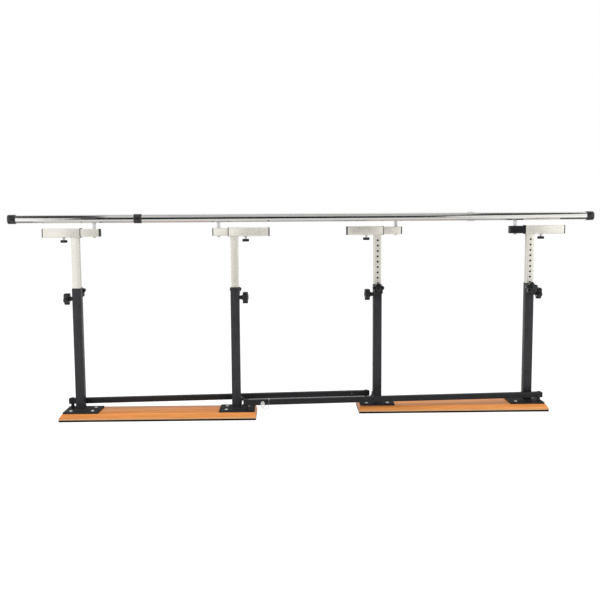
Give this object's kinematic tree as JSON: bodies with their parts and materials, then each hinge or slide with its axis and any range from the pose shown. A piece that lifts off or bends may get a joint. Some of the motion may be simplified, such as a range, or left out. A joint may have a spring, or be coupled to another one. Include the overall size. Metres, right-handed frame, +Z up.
{
  "type": "folding walking parallel bars",
  "caption": "Folding rehab walking bars: bevelled base boards, telescoping posts, sliding arms, link bars and round handrails, folded flat.",
  "frame": {"origin": "on the floor under the middle of the folded machine", "axes": "+X along the base boards towards the right base, +Y away from the pictured side, +Z up"},
  "size_m": [2.6896, 0.2834, 0.9311],
  "materials": {
    "varnished_wood": "orange birch veneer under satin varnish",
    "black_rubber": "matt black rubber",
    "black_steel": "satin black powder coat",
    "bright_steel": "bright plated square tube",
    "dark_steel": "satin black powder coat",
    "rail_chrome": "polished chrome round tube",
    "zinc": "zinc plated",
    "black_plastic": "moulded black plastic",
    "knob_plastic": "semi-gloss black phenolic",
    "wire": "steel wire rope"
  },
  "bodies": {
    "base_left": {"base_board_left": "varnished_wood", "rubber_sheet_left": "black_rubber", "post_shell_left_end": "black_steel", "pivot_bolt_left_end": "zinc", "post_shell_left_mid": "black_steel", "pivot_bolt_left_mid": "zinc"},
    "base_right": {"base_board_right": "varnished_wood", "rubber_sheet_right": "black_rubber", "post_shell_right_end": "black_steel", "pivot_bolt_right_end": "zinc", "post_shell_right_mid": "black_steel", "pivot_bolt_right_mid": "zinc"},
    "link_rear": {"link_bar_rear": "black_steel", "lanyard_rear": "wire"},
    "link_front": {"link_bar_front": "black_steel", "lanyard_front": "wire"},
    "rail_rear": {"handrail_rear": "rail_chrome", "rail_cap_rear_left": "black_rubber", "rail_cap_rear_right": "black_rubber"},
    "rail_front": {"handrail_front": "rail_chrome", "rail_cap_front_left": "black_rubber", "rail_cap_front_right": "black_rubber"},
    "pin_rear": {"lock_pin_rear": "zinc"},
    "pin_front": {"lock_pin_front": "zinc"},
    "slide_left_end": {"post_slide_left_end": "bright_steel", "sleeve_cap_left_end": "black_plastic", "arm_bush_left_end": "black_plastic"},
    "arm_left_end": {"arm_tube_left_end": "bright_steel", "arm_cap_left_end": "black_plastic", "rail_pin_left_end": "zinc"},
    "clamp_left_end": {"clamp_knob_left_end": "knob_plastic"},
    "index_left_end": {"index_knob_left_end": "knob_plastic"},
    "screw_left_end": {"arm_screw_left_end": "black_plastic"},
    "slide_left_mid": {"post_slide_left_mid": "bright_steel", "sleeve_cap_left_mid": "black_plastic", "arm_bush_left_mid": "black_plastic"},
    "arm_left_mid": {"arm_tube_left_mid": "bright_steel", "arm_cap_left_mid": "black_plastic", "rail_pin_left_mid": "zinc"},
    "clamp_left_mid": {"clamp_knob_left_mid": "knob_plastic"},
    "index_left_mid": {"index_knob_left_mid": "knob_plastic"},
    "screw_left_mid": {"arm_screw_left_mid": "black_plastic"},
    "slide_right_mid": {"post_slide_right_mid": "bright_steel", "sleeve_cap_right_mid": "black_plastic", "arm_bush_right_mid": "black_plastic"},
    "arm_right_mid": {"arm_tube_right_mid": "bright_steel", "arm_cap_right_mid": "black_plastic", "rail_pin_right_mid": "zinc"},
    "clamp_right_mid": {"clamp_knob_right_mid": "knob_plastic"},
    "index_right_mid": {"index_knob_right_mid": "knob_plastic"},
    "screw_right_mid": {"arm_screw_right_mid": "black_plastic"},
    "slide_right_end": {"post_slide_right_end": "bright_steel", "sleeve_cap_right_end": "black_plastic", "arm_bush_right_end": "black_plastic"},
    "arm_right_end": {"arm_tube_right_end": "dark_steel", "arm_cap_right_end": "black_plastic", "rail_pin_right_end": "zinc"},
    "clamp_right_end": {"clamp_knob_right_end": "knob_plastic"},
    "index_right_end": {"index_knob_right_end": "knob_plastic"},
    "screw_right_end": {"arm_screw_right_end": "black_plastic"}
  },
  "joints": [
    {"name": "fold", "type": "hinge", "parent": "base_left", "child": "link_rear", "pos_m": [-1.10156, -0.01573, 0.0701], "axis": [0, 0, 1], "range_deg": [0, 85.7]},
    {"name": "right_base_swing", "type": "hinge", "parent": "link_rear", "child": "base_right", "pos_m": [0.27456, 0.08773, 0.0701], "axis": [0, 0, 1], "range_deg": [-85.7, 0]},
    {"name": "link_front_swing", "type": "hinge", "parent": "base_left", "child": "link_front", "pos_m": [-0.29056, -0.08773, 0.0701], "axis": [0, 0, 1], "range_deg": [0, 85.7]},
    {"name": "rail_rear_swing", "type": "hinge", "parent": "arm_left_end", "child": "rail_rear", "pos_m": [-0.96756, -0.05174, 0.9], "axis": [0, 0, 1], "range_deg": [0, 85.7]},
    {"name": "rail_front_swing", "type": "hinge", "parent": "arm_left_mid", "child": "rail_front", "pos_m": [-0.40856, -0.05174, 0.9], "axis": [0, 0, 1], "range_deg": [0, 85.7]},
    {"name": "lift_left_end", "type": "slide", "parent": "base_left", "child": "slide_left_end", "axis": [0, 0, 1], "range_m": [-0.2, 0.1]},
    {"name": "reach_left_end", "type": "slide", "parent": "slide_left_end", "child": "arm_left_end", "axis": [1, 0, 0], "range_m": [-0.045, 0.005]},
    {"name": "arm_screw_turn_left_end", "type": "hinge", "parent": "slide_left_end", "child": "screw_left_end", "pos_m": [-1.10556, -0.05174, 0.815], "axis": [0, 0, 1], "continuous": true},
    {"name": "clamp_turn_left_end", "type": "hinge", "parent": "base_left", "child": "clamp_left_end", "pos_m": [-1.05356, -0.05174, 0.55], "axis": [-1, 0, 0], "continuous": true},
    {"name": "index_pull_left_end", "type": "slide", "parent": "base_left", "child": "index_left_end", "axis": [0, 1, 0], "range_m": [-0.006, 0.005]},
    {"name": "lift_left_mid", "type": "slide", "parent": "base_left", "child": "slide_left_mid", "axis": [0, 0, 1], "range_m": [-0.2, 0.1]},
    {"name": "reach_left_mid", "type": "slide", "parent": "slide_left_mid", "child": "arm_left_mid", "axis": [-1, 0, 0], "range_m": [-0.03, 0.005]},
    {"name": "arm_screw_turn_left_mid", "type": "hinge", "parent": "slide_left_mid", "child": "screw_left_mid", "pos_m": [-0.28656, -0.05174, 0.815], "axis": [0, 0, 1], "continuous": true},
    {"name": "clamp_turn_left_mid", "type": "hinge", "parent": "base_left", "child": "clamp_left_mid", "pos_m": [-0.33856, -0.05174, 0.55], "axis": [1, 0, 0], "continuous": true},
    {"name": "index_pull_left_mid", "type": "slide", "parent": "base_left", "child": "index_left_mid", "axis": [0, 1, 0], "range_m": [-0.006, 0.005]},
    {"name": "lift_right_mid", "type": "slide", "parent": "base_right", "child": "slide_right_mid", "axis": [0, 0, 1], "range_m": [-0.2, 0.1]},
    {"name": "reach_right_mid", "type": "slide", "parent": "slide_right_mid", "child": "arm_right_mid", "axis": [1, 0, 0], "range_m": [-0.045, 0.005]},
    {"name": "arm_screw_turn_right_mid", "type": "hinge", "parent": "slide_right_mid", "child": "screw_right_mid", "pos_m": [0.27056, 0.05174, 0.815], "axis": [0, 0, 1], "continuous": true},
    {"name": "clamp_turn_right_mid", "type": "hinge", "parent": "base_right", "child": "clamp_right_mid", "pos_m": [0.32256, 0.05174, 0.55], "axis": [-1, 0, 0], "continuous": true},
    {"name": "index_pull_right_mid", "type": "slide", "parent": "base_right", "child": "index_right_mid", "axis": [0, -1, 0], "range_m": [-0.006, 0.005]},
    {"name": "lift_right_end", "type": "slide", "parent": "base_right", "child": "slide_right_end", "axis": [0, 0, 1], "range_m": [-0.2, 0.1]},
    {"name": "reach_right_end", "type": "slide", "parent": "slide_right_end", "child": "arm_right_end", "axis": [-1, 0, 0], "range_m": [-0.03, 0.005]},
    {"name": "arm_screw_turn_right_end", "type": "hinge", "parent": "slide_right_end", "child": "screw_right_end", "pos_m": [1.08956, 0.05174, 0.815], "axis": [0, 0, 1], "continuous": true},
    {"name": "clamp_turn_right_end", "type": "hinge", "parent": "base_right", "child": "clamp_right_end", "pos_m": [1.03756, 0.05174, 0.55], "axis": [1, 0, 0], "continuous": true},
    {"name": "index_pull_right_end", "type": "slide", "parent": "base_right", "child": "index_right_end", "axis": [0, -1, 0], "range_m": [-0.006, 0.005]},
    {"name": "lock_pin_rear_pull", "type": "slide", "parent": "link_rear", "child": "pin_rear", "axis": [-0.075, 0.9972, 0], "range_m": [-0.013, 0.03]},
    {"name": "lock_pin_front_pull", "type": "slide", "parent": "link_front", "child": "pin_front", "axis": [0.075, -0.9972, 0], "range_m": [-0.013, 0.03]}
  ],
  "couplings": [
    {"joint": "right_base_swing", "follows": "fold", "ratio": -1},
    {"joint": "link_front_swing", "follows": "fold", "ratio": 1},
    {"joint": "rail_rear_swing", "follows": "fold", "ratio": 1},
    {"joint": "rail_front_swing", "follows": "fold", "ratio": 1},
    {"joint": "lift_right_mid", "follows": "lift_left_end", "ratio": 1},
    {"joint": "reach_right_mid", "follows": "reach_left_end", "ratio": 1},
    {"joint": "lift_right_end", "follows": "lift_left_mid", "ratio": 1},
    {"joint": "reach_right_end", "follows": "reach_left_mid", "ratio": 1}
  ]
}
